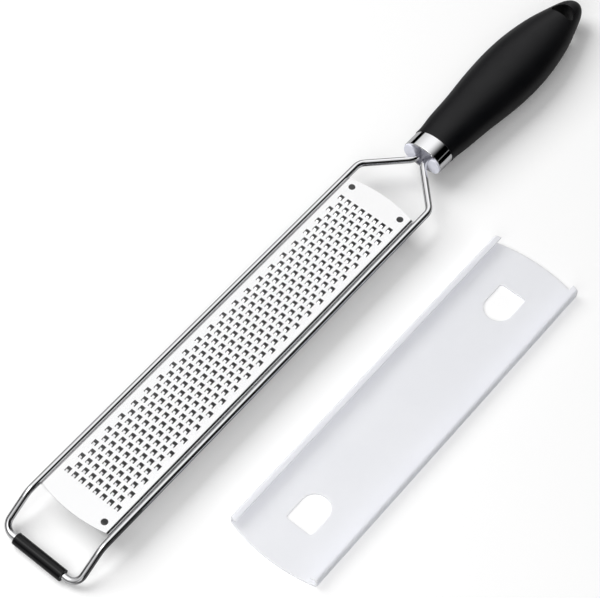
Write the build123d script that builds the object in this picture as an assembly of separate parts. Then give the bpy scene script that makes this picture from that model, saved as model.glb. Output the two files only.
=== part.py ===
from build123d import *
import math
import os

# Rasp zester with its loose blade cover. Lengths are in millimetres.
# +Z is up, off the toothed face of the plate. +Y runs from the front foot to
# the tail of the handle. The origin is the middle of the hang hole, at the
# height of the two wire rails.

# Wire frame: one round rod, bent into two rails, a front foot and a neck
wire_diameter = 3.2
rail_spacing = 40.8
neck_gap = 0.8
neck_bend_radius = 7.0
shoulder_bend_radius = 6.5
neck_to_shoulder = 21.2
tang_spacing = 13.6
tang_bend_lead = 8.2
tang_bend_radius = 3.5
tang_depth = 68.0
leg_bend_radius = 10.0
corner_bend_radius = 5.4
leg_run = 16.0
crossbar_drop = 9.8

# Grating plate: etched sheet, its two long edges hemmed round the rails
plate_length = 203.0
plate_bulge = 3.0
plate_thickness = 0.4
plate_rise = 1.9
plate_shoulder_radius = 1.35
hem_clearance = 0.08
hem_angle = 50.0
neck_to_plate = 32.3
plate_to_leg_bend = 6.5

# Teeth: rows of eight and rows of seven by turns, each a tongue in an opening
tooth_rows = 45
teeth_in_long_row = 8
tooth_pitch_across = 3.95
tooth_row_pitch = 4.13
tooth_front_margin = 10.85
tooth_opening_width = 2.25
tooth_opening_length = 2.75
tooth_width = 1.2
tooth_length = 1.0
tooth_height = 0.5
tooth_edge_thickness = 0.12

# Three round locating holes, level with the outer teeth
locating_hole_diameter = 3.2
locating_hole_inset = 2.6

# Foot sleeve: rubber tube pushed over the crossbar
sleeve_length = 26.0
sleeve_diameter = 5.7
sleeve_clearance = 0.02

# Collar: polished oval band, and a plug with two posts beside the wires
band_width = 21.2
band_height = 14.2
band_length = 9.0
band_wall = 0.8
band_edge_radius = 0.25
plug_clearance = 0.05
plug_recess = 3.8
post_width = 6.6
post_height = 8.4
post_spacing = 13.9
post_reach = 0.9
post_edge_radius = 0.2
neck_to_band = 0.2
wire_hole_clearance = 0.05

# Handle: hard core round the wire ends, and a soft grip moulded over it
handle_length = 115.8
grip_width = 31.2
grip_height = 21.4
grip_step = 0.3
core_width = 18.4
core_height = 11.2
core_end_wall = 5.0
core_clearance = 0.05

# Stations along the grip, from the collar to the tail: share of its length,
# then half width, half height and droop as shares of those at the belly
grip_station_shares = [
    (0.080, 0.747, 0.765, 0.10),
    (0.160, 0.795, 0.815, 0.27),
    (0.240, 0.843, 0.870, 0.47),
    (0.320, 0.910, 0.925, 0.67),
    (0.400, 0.965, 0.970, 0.85),
    (0.480, 0.997, 0.998, 0.96),
    (0.560, 0.997, 0.998, 1.00),
    (0.640, 0.958, 0.957, 1.00),
    (0.720, 0.878, 0.877, 1.00),
    (0.800, 0.756, 0.772, 1.00),
    (0.870, 0.603, 0.650, 1.00),
    (0.925, 0.472, 0.540, 1.00),
    (0.965, 0.350, 0.415, 1.00),
    (0.990, 0.205, 0.245, 1.00),
]

# Hang hole: a D with its straight side towards the blade
hang_inset = 11.8
hang_width = 11.5
hang_length = 7.6
hang_corner_radius = 1.6

# Blade cover: slides over the rails, shown taken off and lying on its back
cover_length = 192.0
cover_bulge = 3.5
cover_panel_thickness = 0.8
cover_wall = 0.9
cover_lip_thickness = 0.8
cover_lip_reach = 2.3
cover_side_clearance = 0.3
cover_lip_clearance = 0.2
cover_tooth_clearance = 0.35
cover_corner_radius = 1.2
cover_offset_x = 71.9
cover_offset_y = -214.3
window_width = 13.6
window_length = 18.0
window_inset = 19.6
window_corner_radius = 1.5

# Past a face that a cut goes through
overrun = 1.0

# Places worked out from the sizes above
wire_radius = wire_diameter / 2
rail_x = rail_spacing / 2
tang_x = tang_spacing / 2
rim_y = hang_inset - handle_length
band_front_y = rim_y - band_length
floor_y = band_front_y + plug_recess
post_front_y = band_front_y - post_reach
neck_y = band_front_y - neck_to_band
shoulder_y = neck_y - neck_to_shoulder
plate_rear_y = neck_y - neck_to_plate
plate_front_y = plate_rear_y - plate_length
leg_bend_y = plate_front_y - plate_to_leg_bend
crossbar_y = leg_bend_y - leg_run
rest_z = -crossbar_drop - sleeve_diameter / 2
tang_end_y = rim_y + tang_depth
plate_half_width = rail_x - wire_radius - hem_clearance
hem_radius = wire_radius + hem_clearance
core_length = tang_depth + core_end_wall

os.makedirs("parts", exist_ok=True)


def oval(width, height, y, z=0):
    """An upright ellipse across the handle, at y."""
    return Plane(origin=(0, y, z), x_dir=(1, 0, 0), z_dir=(0, 1, 0)) * Ellipse(width / 2, height / 2)


def oval_bar(width, height, y_from, y_to):
    return extrude(oval(width, height, y_from), y_to - y_from)


def neck_vertex_x():
    """Where the two straights of the neck bend would meet, near the middle."""
    outward = math.atan2(tang_x, tang_bend_lead)
    inward = math.atan2(rail_x, neck_to_shoulder)
    half_turn = (outward + inward) / 2
    return wire_radius + neck_gap / 2 - neck_bend_radius * (1 / math.cos(half_turn) - 1)


def tang_points(side, end_y):
    """Left (-1) or right (1) half of the neck, from the wire's end to the rail."""
    return [
        (side * tang_x, end_y, 0),
        (side * tang_x, neck_y + tang_bend_lead, 0),
        (side * neck_vertex_x(), neck_y, 0),
        (side * rail_x, shoulder_y, 0),
        (side * rail_x, leg_bend_y, 0),
    ]


tang_radii = [tang_bend_radius, neck_bend_radius, shoulder_bend_radius]


def round_bar(path, radius):
    return sweep(Plane(origin=path @ 0, z_dir=path % 0) * Circle(radius), path=path)


def wire_frame():
    left = tang_points(-1, tang_end_y) + [(-rail_x, crossbar_y, -crossbar_drop)]
    right = tang_points(1, tang_end_y) + [(rail_x, crossbar_y, -crossbar_drop)]
    radii = tang_radii + [leg_bend_radius, corner_bend_radius]
    path = FilletPolyline(left + right[::-1], radius=radii + radii[::-1])
    print("wire: length", round(path.length, 1), "lowest bend radius", min(radii))
    return round_bar(path, wire_radius)


def wire_hole(side):
    """The room that the wire takes in the plug and the core."""
    path = FilletPolyline(tang_points(side, tang_end_y + wire_hole_clearance), radius=tang_radii)
    return round_bar(path, wire_radius + wire_hole_clearance)


def plate_section():
    """Half of the plate's section: flat, shoulder, skirt and hem, on x and z."""
    flat_x = plate_half_width - plate_shoulder_radius
    shoulder_z = plate_rise - plate_shoulder_radius
    inner_x = plate_half_width - plate_thickness
    outer_hem = hem_radius + plate_thickness
    hem_direction = Vector(1, 0).rotate(Axis.Z, 180 + hem_angle)
    hem_start = Vector(rail_x, 0) + hem_direction * hem_radius
    hem_end = Vector(rail_x, 0) + hem_direction * outer_hem
    middle = (0, plate_rise)
    below = (0, plate_rise - plate_thickness)
    edges = [
        Line(middle, (flat_x, plate_rise)),
        CenterArc((flat_x, shoulder_z), plate_shoulder_radius, 90, -90),
        Line((plate_half_width, shoulder_z), (plate_half_width, 0)),
        CenterArc((rail_x, 0), hem_radius, 180, hem_angle),
        Line(hem_start, hem_end),
        CenterArc((rail_x, 0), outer_hem, 180 + hem_angle, -hem_angle),
        Line((inner_x, 0), (inner_x, shoulder_z)),
        CenterArc((flat_x, shoulder_z), plate_shoulder_radius - plate_thickness, 0, 90),
        Line((flat_x, plate_rise - plate_thickness), below),
        Line(below, middle),
    ]
    half = make_face(edges)
    return half + mirror(half, Plane.YZ)


def bowed_outline(half_width, front_y, rear_y, bulge):
    """A plan outline whose two ends bow outwards."""
    front = ThreePointArc((-half_width, front_y), (0, front_y - bulge), (half_width, front_y))
    rear = ThreePointArc((half_width, rear_y), (0, rear_y + bulge), (-half_width, rear_y))
    sides = [Line(front @ 1, rear @ 0), Line(rear @ 1, front @ 0)]
    return make_face([front, rear] + sides)


def tooth_places():
    """Middle of each opening: long rows of eight, short rows of seven between."""
    places = []
    for row in range(tooth_rows):
        count = teeth_in_long_row - row % 2
        y = plate_front_y + tooth_front_margin + row * tooth_row_pitch
        for number in range(count):
            places.append(((number - (count - 1) / 2) * tooth_pitch_across, y))
    return places


def tooth_tongue():
    """One tongue: rooted at the front of its opening, its edge raised."""
    root_y = -tooth_opening_length / 2
    tip_y = root_y + tooth_length
    top = plate_rise
    points = [
        (root_y, top),
        (tip_y, top + tooth_height),
        (tip_y, top + tooth_height - tooth_edge_thickness),
        (root_y, top - plate_thickness),
    ]
    side = Plane(origin=(-tooth_width / 2, 0, 0), x_dir=(0, 1, 0), z_dir=(1, 0, 0))
    return extrude(side * make_face(Polyline(points, close=True)), tooth_width)


def locating_hole_places():
    hole_x = (teeth_in_long_row - 1) / 2 * tooth_pitch_across
    return [
        (hole_x, plate_front_y + locating_hole_inset),
        (hole_x, plate_rear_y - locating_hole_inset),
        (-hole_x, plate_rear_y - locating_hole_inset),
    ]


def grating_plate():
    reach = plate_length + 2 * plate_bulge + 2 * overrun
    start_y = plate_front_y - plate_bulge - overrun
    sheet = extrude(Plane(origin=(0, start_y, 0), x_dir=(1, 0, 0), z_dir=(0, -1, 0)) * plate_section(), -reach)
    outline = bowed_outline(rail_x, plate_front_y, plate_rear_y, plate_bulge)
    deep = hem_radius + plate_thickness + overrun
    sheet = sheet & extrude(Plane.XY.offset(-deep) * outline, deep + plate_rise + overrun)
    top = plate_rise + overrun
    cut_depth = plate_thickness + 2 * overrun
    opening = Plane.XY.offset(top) * extrude(Rectangle(tooth_opening_width, tooth_opening_length), -cut_depth)
    hole = Plane.XY.offset(top) * extrude(Circle(locating_hole_diameter / 2), -cut_depth)
    tongue = tooth_tongue()
    cuts = [Pos(x, y) * opening for x, y in tooth_places()]
    cuts += [Pos(x, y) * hole for x, y in locating_hole_places()]
    sheet = sheet.cut(*cuts)
    return sheet.fuse(*[Pos(x, y) * tongue for x, y in tooth_places()])


def foot_sleeve():
    across = Plane(origin=(-sleeve_length / 2, crossbar_y, -crossbar_drop), x_dir=(0, 1, 0), z_dir=(1, 0, 0))
    ring = Circle(sleeve_diameter / 2) - Circle(wire_radius + sleeve_clearance)
    return extrude(across * ring, sleeve_length)


def collar_band():
    outer = oval_bar(band_width, band_height, band_front_y, rim_y)
    inner = oval_bar(band_width - 2 * band_wall, band_height - 2 * band_wall, band_front_y - overrun, rim_y + overrun)
    front = outer.faces().sort_by(Axis.Y)[0].edges()
    return fillet(front, band_edge_radius) - inner


def collar_plug():
    width = band_width - 2 * band_wall - 2 * plug_clearance
    height = band_height - 2 * band_wall - 2 * plug_clearance
    body = oval_bar(width, height, floor_y, rim_y)
    inside = oval_bar(width, height, band_front_y, floor_y)
    for side in (-1, 1):
        post = Pos(side * post_spacing / 2) * oval_bar(post_width, post_height, post_front_y, floor_y)
        face_edge = post.faces().sort_by(Axis.Y)[0].edges()
        post = fillet(face_edge, post_edge_radius)
        ahead = post & oval_bar(band_width + overrun, band_height + overrun, post_front_y, band_front_y)
        body += ahead + (post & inside)
    return body - wire_hole(-1) - wire_hole(1)


def handle_core():
    bar = oval_bar(core_width, core_height, rim_y, rim_y + core_length)
    return bar - wire_hole(-1) - wire_hole(1)


def hang_hole_outline():
    half = hang_width / 2
    arc = ThreePointArc((half, -hang_length / 2), (0, hang_length / 2), (-half, -hang_length / 2))
    face = make_face([arc, Line(arc @ 1, arc @ 0)])
    return fillet(face.vertices(), hang_corner_radius)


def handle_grip():
    droop = rest_z + grip_height / 2
    sections = [oval(band_width + 2 * grip_step, band_height + 2 * grip_step, rim_y)]
    for along, wide, high, down in grip_station_shares:
        y = rim_y + along * handle_length
        sections.append(oval(wide * grip_width, high * grip_height, y, down * droop))
    tail = Vertex(0, rim_y + handle_length, grip_station_shares[-1][3] * droop)
    body = loft(sections + [tail])
    cavity = oval_bar(
        core_width + 2 * core_clearance,
        core_height + 2 * core_clearance,
        rim_y - overrun,
        rim_y + core_length + core_clearance,
    )
    hole = extrude(Plane.XY.offset(-grip_height) * hang_hole_outline(), 2 * grip_height)
    return body - cavity - hole


def cover_section():
    """The cover's section, open upwards, its underside on y = 0."""
    inner_half = rail_x + wire_radius + cover_side_clearance
    outer_half = inner_half + cover_wall
    channel = plate_rise + tooth_height + cover_tooth_clearance + wire_radius + cover_lip_clearance
    height = cover_panel_thickness + channel + cover_lip_thickness
    mouth_half = inner_half - cover_lip_reach
    block = Pos(0, height / 2) * Rectangle(2 * outer_half, height)
    block = fillet(block.vertices(), cover_corner_radius)
    room = Pos(0, cover_panel_thickness + channel / 2) * Rectangle(2 * inner_half, channel)
    room = fillet(room.vertices(), cover_corner_radius - cover_wall)
    mouth_z = cover_panel_thickness + channel / 2 + height / 2
    mouth = Pos(0, mouth_z) * Rectangle(2 * mouth_half, height)
    return block - room - mouth, outer_half, height


def window_outline():
    """An arched window: straight side at the outer end, round side inwards."""
    half = window_width / 2
    spring = window_length - half
    arch = ThreePointArc((half, spring), (0, window_length), (-half, spring))
    sides = [Line(arch @ 1, (-half, 0)), Line((-half, 0), (half, 0)), Line((half, 0), arch @ 0)]
    face = make_face([arch] + sides)
    return fillet(face.vertices().sort_by(Axis.Y)[:2], window_corner_radius)


def blade_cover():
    section, outer_half, height = cover_section()
    half_length = cover_length / 2
    start = Plane(origin=(0, half_length + overrun, 0), x_dir=(1, 0, 0), z_dir=(0, -1, 0))
    body = extrude(start * section, cover_length + 2 * overrun)
    side_end = half_length - cover_bulge
    outline = bowed_outline(outer_half + overrun, -side_end, side_end, cover_bulge)
    body = body & extrude(outline, height)
    window = extrude(Pos(0, window_inset - half_length) * window_outline(), cover_panel_thickness)
    body = body - window - window.rotate(Axis.Z, 180)
    return Pos(cover_offset_x, cover_offset_y, rest_z) * body


nodes = {
    "wire_frame": wire_frame,
    "grating_plate": grating_plate,
    "foot_sleeve": foot_sleeve,
    "collar_band": collar_band,
    "collar_plug": collar_plug,
    "handle_core": handle_core,
    "handle_grip": handle_grip,
    "blade_cover": blade_cover,
}

for name, make in nodes.items():
    export_step(make(), f"parts/{name}.step")
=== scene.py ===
# %% [markdown]
# # Dressing a rasp zester
#
# A rasp zester is a long, fine grater. One polished rod is bent into two rails,
# a foot and a neck, a thin toothed plate is hemmed round the rails, and a soft
# black grip holds the ends of the rod. Its milky cover lies beside it.
#
# The solids come ready made from CAD and stay where they are. This lesson gives
# them a table, a camera, a studio with lamps, and a finish for each piece.

# %% Load the solids
import math

import bpy
from mathutils import Matrix, Vector


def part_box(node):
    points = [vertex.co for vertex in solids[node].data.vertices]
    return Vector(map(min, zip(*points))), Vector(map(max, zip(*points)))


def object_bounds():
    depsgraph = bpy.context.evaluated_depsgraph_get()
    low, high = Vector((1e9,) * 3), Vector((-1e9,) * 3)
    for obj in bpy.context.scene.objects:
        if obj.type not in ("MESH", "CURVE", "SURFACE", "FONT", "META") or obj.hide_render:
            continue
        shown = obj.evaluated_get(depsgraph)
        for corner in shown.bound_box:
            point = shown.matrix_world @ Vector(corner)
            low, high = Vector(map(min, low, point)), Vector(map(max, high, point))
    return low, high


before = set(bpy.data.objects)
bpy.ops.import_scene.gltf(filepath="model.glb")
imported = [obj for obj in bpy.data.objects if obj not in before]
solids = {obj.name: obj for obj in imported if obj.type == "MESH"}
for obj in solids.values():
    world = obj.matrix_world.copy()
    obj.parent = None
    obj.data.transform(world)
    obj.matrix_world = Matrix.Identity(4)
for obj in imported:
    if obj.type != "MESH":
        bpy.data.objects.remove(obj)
solid_low, solid_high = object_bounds()
print("solids:", ", ".join(sorted(solids)))

# %% [markdown]
# Blender counts in metres and the maker of this part in millimetres, so one
# small value turns one into the other. The lowest point of the solids is the
# table top that the foot, the belly of the grip and the cover all rest on.

# %% Units and the table's height
MM = 0.001
MICRON = 0.000001
table_z = solid_low.z
print("table at", round(table_z / MM, 2), "mm, measured from the rails")

# %% [markdown]
# ## Camera
#
# The camera stands where the photographer stood. Its angles, its distance and
# its focal length were fitted to the straight rails and the round holes, and
# they are kept here as the handful of numbers that a tripod would have. The
# roll is a small tilt of the picture about the line of sight.

# %% Stand the camera up
azimuth = math.radians(36.192)
elevation = math.radians(57.571)
roll = math.radians(3.634)
aim = Vector((5.68, -209.245, 0)) * MM
camera_distance = 905.691 * MM
picture_width_px = 600
focal_length_px = 2057.41

level = math.cos(elevation)
sight = Vector((-math.sin(azimuth) * level, math.cos(azimuth) * level, -math.sin(elevation)))
level_right = Vector((math.cos(azimuth), math.sin(azimuth), 0))
level_up = level_right.cross(sight)
picture_right = level_right * math.cos(roll) + level_up * math.sin(roll)
picture_up = level_up * math.cos(roll) - level_right * math.sin(roll)

camera_data = bpy.data.cameras.new("camera")
camera_data.sensor_width = 36
camera_data.lens = focal_length_px / picture_width_px * camera_data.sensor_width
camera_data.clip_start = 0.01
camera = bpy.data.objects.new("camera", camera_data)
bpy.context.scene.collection.objects.link(camera)
turned = Matrix((picture_right, picture_up, -sight)).transposed()
camera.matrix_world = Matrix.Translation(aim - sight * camera_distance) @ turned.to_4x4()
bpy.context.scene.camera = camera
bpy.context.scene.view_settings.view_transform = "Standard"
print("lens", round(camera_data.lens, 1), "mm")

# %% [markdown]
# ## Small helpers for shader nodes
#
# A finish is a little graph of nodes. These helpers make a node, fill in its
# sockets by name and join two sockets, so that each finish below reads as a
# list of decisions and not as a list of calls.

# %% Node helpers
def add_node(tree, kind, sockets=None, **settings):
    node = tree.nodes.new(kind)
    for name, value in settings.items():
        setattr(node, name, value)
    for name, value in (sockets or {}).items():
        node.inputs[name].default_value = value
    return node


def maths(tree, operation, first, second):
    """One sum on two values, each a socket or a number."""
    node = add_node(tree, "ShaderNodeMath", operation=operation)
    for place, value in enumerate((first, second)):
        if isinstance(value, (int, float)):
            node.inputs[place].default_value = value
        else:
            tree.links.new(value, node.inputs[place])
    return node.outputs[0]


def product(tree, first, *others):
    """All the values multiplied: where shares overlap, this is their overlap."""
    for value in others:
        first = maths(tree, "MULTIPLY", first, value)
    return first


def largest(tree, first, *others):
    for value in others:
        first = maths(tree, "MAXIMUM", first, value)
    return first


def rest_of(tree, share, whole=1.0):
    return maths(tree, "SUBTRACT", whole, share)


# %% [markdown]
# Two more helpers say where something is. A ramp eases from one value to
# another, and the place that is being shaded comes apart into x, y and z.

# %% Ramps and places
def ramp(tree, value, start, end, low=0.0, high=1.0):
    """Eases from low to high while value goes from start to end."""
    node = add_node(
        tree,
        "ShaderNodeMapRange",
        {"From Min": start, "From Max": end, "To Min": low, "To Max": high},
        interpolation_type="SMOOTHSTEP",
    )
    tree.links.new(value, node.inputs["Value"])
    return node.outputs["Result"]


def ramp_mm(tree, value, start, end, high=1.0):
    """The same for a place, with its ends in millimetres."""
    return ramp(tree, value, start * MM, end * MM, high=high)


def place_in(tree, kind):
    """x, y and z: kind Object is a place in the piece, Generated a direction of the world."""
    coordinates = add_node(tree, "ShaderNodeTexCoord")
    parts = add_node(tree, "ShaderNodeSeparateXYZ")
    tree.links.new(coordinates.outputs[kind], parts.inputs[0])
    return parts.outputs["X"], parts.outputs["Y"], parts.outputs["Z"]


# %% [markdown]
# ## Table top
#
# The table is a wide white sheet, which takes the shadows like any matt surface.

# %% Lay the table top
table_size = 6.0
bpy.ops.mesh.primitive_plane_add(size=table_size, location=(0, 0, table_z))
table_top = bpy.context.object
table_top.name = "table_top"

paper = bpy.data.materials.new("white_paper")
paper.use_nodes = True
tree = paper.node_tree
matt = tree.nodes["Principled BSDF"]
matt.inputs["Roughness"].default_value = 0.9
matt.inputs["Specular IOR Level"].default_value = 0.0
table_top.data.materials.append(paper)
print("table top", table_size, "m wide")

# %% [markdown]
# The openings of a grater read as dark dots, because what lies under the plate
# is in the dark. Here that dark is a painted shade on the paper under the blade,
# with soft edges, and only there.
#
# A little light is added for camera rays alone, which lifts the paper to pure
# white. For the rays that come off a mirror the paper is greyer, a painted darker
# reflection. These rays also see a painted black patch on it, to the right of the
# blade: a painted dark reflection which draws the dark line along the rail and
# the leg on that side.

# %% Shade the paper
white = 0.9
painted_shade_depth = 0.9
painted_reflection_loss = 0.4
painted_dark_reflection_depth = 0.42
camera_lift = 0.12

x, y, z = place_in(tree, "Object")
# painted shade: a soft-edged dark patch on the paper under the blade
across = product(tree, ramp_mm(tree, x, -24.5, -20.5), ramp_mm(tree, x, 17, 13))
along = product(tree, ramp_mm(tree, y, -347, -341), ramp_mm(tree, y, -135.5, -138.5))
paper_after_painted_shade = rest_of(tree, product(tree, across, along, painted_shade_depth))

rays = add_node(tree, "ShaderNodeLightPath").outputs
# painted dark reflection: a dark patch on the paper right of the blade, seen only by rays that
# come off a mirror
painted_dark_reflection = product(tree, ramp_mm(tree, x, 17, 29, high=painted_dark_reflection_depth), ramp_mm(tree, y, -115, -140))
# painted darker reflection: the paper turns greyer for rays that come off a mirror
painted_reflection_dim = product(tree, rays["Is Glossy Ray"], maths(tree, "ADD", painted_dark_reflection, painted_reflection_loss))
paper_tone = product(tree, paper_after_painted_shade, rest_of(tree, painted_reflection_dim, whole=white))
tree.links.new(paper_tone, matt.inputs["Base Color"])

lift = product(tree, rays["Is Camera Ray"], camera_lift, paper_after_painted_shade)
matt.inputs["Emission Color"].default_value = (1, 1, 1, 1)
tree.links.new(lift, matt.inputs["Emission Strength"])
print("paper nodes:", len(tree.nodes))

# %% [markdown]
# ## Studio
#
# Polished metal has no look of its own: it shows the room. The world is
# therefore painted as a studio, by direction: x, y and z below are parts of a
# direction of length one. Most of it is a white tent.
#
# First come the dark parts. The tent fades into a black wall on the right, where
# a narrow gap lets some light through. On the left a black skirting lies along
# the table's edge. The room in front, where the camera stands, is dark grey, and
# so is the room behind, more so towards the right. A pale panel fills the front
# right corner. These give the rod, the band and the black pieces their stripes.

# %% Paint the dark parts of the studio
world = bpy.data.worlds.new("studio")
bpy.context.scene.world = world
world.use_nodes = True
tree = world.node_tree
x, y, z = place_in(tree, "Generated")

gap_light = 0.2
gap_in_wall = product(tree, ramp(tree, z, 0.42, 0.44), ramp(tree, z, 0.50, 0.48))
wall_left = rest_of(tree, product(tree, gap_in_wall, gap_light))
wall = product(tree, ramp(tree, x, -0.2, 0.4), wall_left)

skirting = product(tree, ramp(tree, x, -0.35, -0.6), ramp(tree, z, 0.37, 0.29))
front_depth = 0.85
front = product(tree, ramp(tree, y, 0.0, -0.45, high=front_depth), ramp(tree, z, 0.95, 0.35))
back_depth = 0.9
back = product(tree, ramp(tree, y, 0.5, 0.8, high=back_depth), ramp(tree, z, 0.75, 0.6))
back = product(tree, back, ramp(tree, x, -0.6, 0.1))

panel_light = 0.6
panel = product(tree, ramp(tree, x, 0.2, 0.45, high=panel_light), ramp(tree, y, -0.6, -0.7))
dark = product(tree, largest(tree, wall, skirting, front, back), rest_of(tree, panel))
print("nodes for the dark parts:", len(tree.nodes))

# %% [markdown]
# The tent dims a little towards the left. A brighter skylight hangs in its
# ceiling, towards the front, with a slanting front edge.

# %% Paint the tent and its skylight
tent_level = ramp(tree, x, -0.35, -0.85, low=1.1, high=0.7)
tent = product(tree, tent_level, rest_of(tree, dark))

skylight_level = 1.8
slant = maths(tree, "ADD", y, product(tree, x, 0.9))
skylight = product(tree, ramp(tree, slant, -0.75, -0.5), ramp(tree, y, 0.15, -0.05))
skylight = product(tree, skylight, ramp(tree, z, 0.6, 0.85, high=skylight_level))
skylight = product(tree, skylight, rest_of(tree, wall))
tent = maths(tree, "ADD", tent, skylight)
print("skylight at", skylight_level, "over a tent of 1.1 to 0.7")

# %% [markdown]
# Only rays that come off a mirror see this studio. The camera sees plain white
# past the table's edge. Rays that only carry soft light get a dim, even tent
# instead, because the lamps do that work.

# %% Say who sees the studio
soft_light = 0.14
rays = add_node(tree, "ShaderNodeLightPath").outputs
mirrored = product(tree, tent, rays["Is Glossy Ray"])
soft = product(tree, rays["Is Diffuse Ray"], soft_light)
seen = largest(tree, mirrored, rays["Is Camera Ray"], rays["Is Transmission Ray"], soft)
backdrop = tree.nodes["Background"]
backdrop.inputs["Color"].default_value = (1, 1, 1, 1)
tree.links.new(seen, backdrop.inputs["Strength"])
print("studio nodes:", len(tree.nodes))

# %% [markdown]
# ## Lamps
#
# Three large soft lamps light the table. The key lamp stands high on the left,
# so shadows fall softly to the right as in the photograph. The overhead lamp
# keeps them pale. The front lamp stands low, so that it reaches under the blade
# and into the mouth of the collar. None shows in the metal, which already
# mirrors the painted tent.

# %% Hang the lamps
def hang_lamp(name, place, size, watts):
    """A square lamp at a place measured from the camera's aim, turned towards it."""
    data = bpy.data.lights.new(name, "AREA")
    data.shape = "SQUARE"
    data.size = size
    data.energy = watts
    lamp = bpy.data.objects.new(name, data)
    lamp.location = aim + Vector(place)
    lamp.rotation_mode = "QUATERNION"
    lamp.rotation_quaternion = (aim - lamp.location).to_track_quat("-Z", "Y")
    lamp.visible_glossy = False
    lamp.visible_camera = False
    bpy.context.scene.collection.objects.link(lamp)
    print(name, "at", place, "m from the aim,", watts, "W")


hang_lamp("key_lamp", (-1.28, -0.2, 1.45), size=1.4, watts=32.5)
hang_lamp("overhead_lamp", (-0.1, 0.15, 1.3), size=1.2, watts=2.0)
hang_lamp("front_lamp", (0.25, -1.1, 0.75), size=0.9, watts=8.6)

# %% [markdown]
# ## Finishes
#
# Every finish starts from the same shader. The grain of a finish is noise that
# is laid in the object's own frame, so it keeps its real scale and moves with
# the piece. Stretching the noise along one axis turns grain into brushing.

# %% Start a finish and put it on
def new_finish(name, colour, metallic=0.0):
    material = bpy.data.materials.new(name)
    material.use_nodes = True
    shader = material.node_tree.nodes["Principled BSDF"]
    shader.inputs["Base Color"].default_value = (*colour, 1)
    shader.inputs["Metallic"].default_value = metallic
    return material, shader


def put_on(material, name):
    slots = solids[name].material_slots
    for slot in slots:
        slot.material = material
    print(material.name, "on", name, "slots:", len(slots))


# %% Grain for every finish
def grain(material, per_metre, detail=3.0):
    """Noise with so many grains to the metre along x, y and z."""
    tree = material.node_tree
    coordinates = add_node(tree, "ShaderNodeTexCoord")
    stretch = add_node(tree, "ShaderNodeMapping", {"Scale": per_metre})
    noise = add_node(tree, "ShaderNodeTexNoise", {"Scale": 1.0, "Detail": detail})
    tree.links.new(coordinates.outputs["Object"], stretch.inputs["Vector"])
    tree.links.new(stretch.outputs["Vector"], noise.inputs["Vector"])
    return noise.outputs["Fac"]


def vary_roughness(material, shader, pattern, low, high):
    tree = material.node_tree
    tree.links.new(ramp(tree, pattern, 0.3, 0.7, low, high), shader.inputs["Roughness"])


def emboss(material, shader, pattern, depth):
    """Turns a pattern into relief of that depth in metres."""
    tree = material.node_tree
    bump = add_node(tree, "ShaderNodeBump", {"Strength": 1.0, "Distance": depth})
    tree.links.new(pattern, bump.inputs["Height"])
    tree.links.new(bump.outputs["Normal"], shader.inputs["Normal"])


def blend_colours(material, shader, share, first, second):
    """The first colour where the share is 0, the second where it is 1."""
    tree = material.node_tree
    mix = add_node(tree, "ShaderNodeMix", data_type="RGBA")
    tree.links.new(share, mix.inputs["Factor"])
    mix.inputs["A"].default_value = (*first, 1)
    mix.inputs["B"].default_value = (*second, 1)
    tree.links.new(mix.outputs["Result"], shader.inputs["Base Color"])


# %% [markdown]
# ### Polished rod
#
# The rod is drawn stainless steel, then polished in a drum. It is nearly a
# mirror, with faint draw lines along it and slightly duller patches, so its
# roughness drifts over a few millimetres.

# %% Finish of the rod
rod_steel, shader = new_finish("polished_rod", (0.84, 0.84, 0.855), metallic=1.0)
vary_roughness(rod_steel, shader, grain(rod_steel, (160, 60, 160)), 0.03, 0.07)
emboss(rod_steel, shader, grain(rod_steel, (2600, 90, 2600)), 1.2 * MICRON)
put_on(rod_steel, "wire_frame")

# %% [markdown]
# ### Satin sheet
#
# The plate is thin stainless sheet with a satin face. The brushing runs along
# its length, which spreads reflections across it and leaves it almost white.

# %% Finish of the grating plate
sheet_steel, shader = new_finish("satin_sheet", (0.885, 0.885, 0.89), metallic=1.0)
brushing = grain(sheet_steel, (5200, 70, 5200), detail=4.0)
vary_roughness(sheet_steel, shader, brushing, 0.19, 0.27)
emboss(sheet_steel, shader, brushing, 1.5 * MICRON)
put_on(sheet_steel, "grating_plate")

# %% [markdown]
# ### Collar
#
# The band is turned and polished to a mirror. The plug inside it is cast, with
# a fine satin face that is a little lilac beside the bright band. Past the mouth
# of the band the plug is painted greyer: painted shade for the recess.

# %% Finish of the band
band_steel, shader = new_finish("polished_band", (0.86, 0.86, 0.875), metallic=1.0)
vary_roughness(band_steel, shader, grain(band_steel, (90, 420, 90)), 0.045, 0.09)
put_on(band_steel, "collar_band")

# %% Finish of the plug
face_lilac = (0.86, 0.87, 0.96)
mouth_painted_shade_grey = (0.56, 0.56, 0.63)
plug_metal, shader = new_finish("satin_plug", face_lilac, metallic=0.1)
cast_grain = grain(plug_metal, (3800, 3800, 3800))
vary_roughness(plug_metal, shader, cast_grain, 0.42, 0.55)
emboss(plug_metal, shader, cast_grain, 6 * MICRON)

mouth_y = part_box("collar_band")[0].y
x, y, z = place_in(plug_metal.node_tree, "Object")
# painted shade: greyer past the mouth of the band, in the recess
inside = ramp(plug_metal.node_tree, y, mouth_y - 0.5 * MM, mouth_y + 1.0 * MM)
blend_colours(plug_metal, shader, inside, face_lilac, mouth_painted_shade_grey)
put_on(plug_metal, "collar_plug")

# %% [markdown]
# ### Soft grip, foot sleeve and core
#
# The grip and the sleeve are black and rubbery, but not alike. The grip is a
# moulded skin with a fine stipple that scatters light to a dusty grey where the
# studio shows in it. The sleeve is cut from extruded tube, smoother and a little
# shinier. The core is hard black plastic, which only shows where a part is taken
# to pieces.

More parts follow.
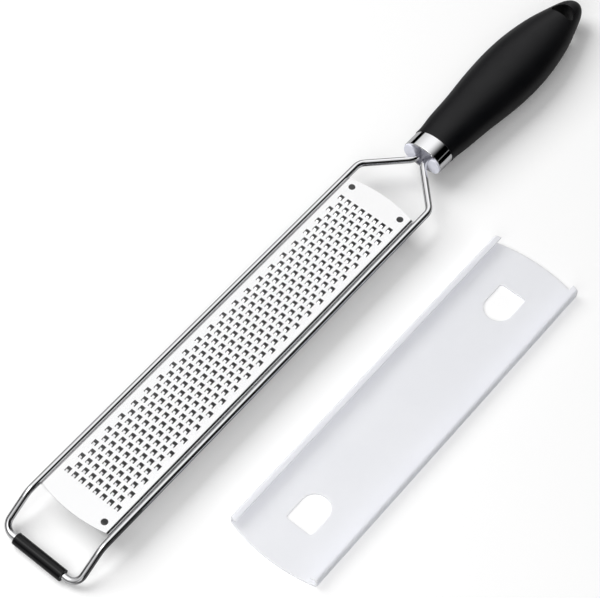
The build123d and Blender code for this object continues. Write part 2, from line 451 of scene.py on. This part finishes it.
# %% Finishes of the black pieces
grip_rubber, shader = new_finish("soft_grip", (0.0015, 0.0015, 0.0022))
shader.inputs["Specular IOR Level"].default_value = 0.3
vary_roughness(grip_rubber, shader, grain(grip_rubber, (140, 90, 140)), 0.38, 0.45)
emboss(grip_rubber, shader, grain(grip_rubber, (4200, 4200, 4200)), 6 * MICRON)
put_on(grip_rubber, "handle_grip")

sleeve_rubber, shader = new_finish("black_rubber", (0.0015, 0.0015, 0.002))
shader.inputs["Specular IOR Level"].default_value = 0.28
vary_roughness(sleeve_rubber, shader, grain(sleeve_rubber, (40, 900, 900)), 0.17, 0.23)
emboss(sleeve_rubber, shader, grain(sleeve_rubber, (60, 2400, 2400)), 6 * MICRON)
put_on(sleeve_rubber, "foot_sleeve")

core_plastic, shader = new_finish("hard_core", (0.05, 0.05, 0.055))
vary_roughness(core_plastic, shader, grain(core_plastic, (300, 300, 300)), 0.4, 0.5)
put_on(core_plastic, "handle_core")

# %% [markdown]
# ### Milky cover
#
# The cover is thin cloudy plastic, a little under a millimetre thick. Light
# soaks into it, scatters and leaves on both sides, so its walls glow at their
# edges and its shadow is pale. That is subsurface scattering, with a reach of
# a few wall thicknesses, under a soft gloss.
#
# A wall this thin also lets the lamps through, so for shadow rays alone it is
# three quarters clear: its shadow on itself and on the table stays pale.

# %% Finish of the cover
denser_haze = (0.76, 0.77, 0.82)
thinner_haze = (0.78, 0.79, 0.84)
clear_for_lamps = 0.75
cloudy, shader = new_finish("milky_cover", denser_haze)
shader.inputs["Subsurface Weight"].default_value = 1.0
shader.inputs["Subsurface Radius"].default_value = (1.0, 1.0, 1.0)
shader.inputs["Subsurface Scale"].default_value = 3 * MM

tree = cloudy.node_tree
rays = add_node(tree, "ShaderNodeLightPath").outputs
let_through = product(tree, rays["Is Shadow Ray"], clear_for_lamps)
tree.links.new(rest_of(tree, let_through), shader.inputs["Alpha"])

haze = grain(cloudy, (45, 30, 45))
vary_roughness(cloudy, shader, haze, 0.3, 0.4)
blend_colours(cloudy, shader, ramp(tree, haze, 0.3, 0.7), denser_haze, thinner_haze)
put_on(cloudy, "blade_cover")
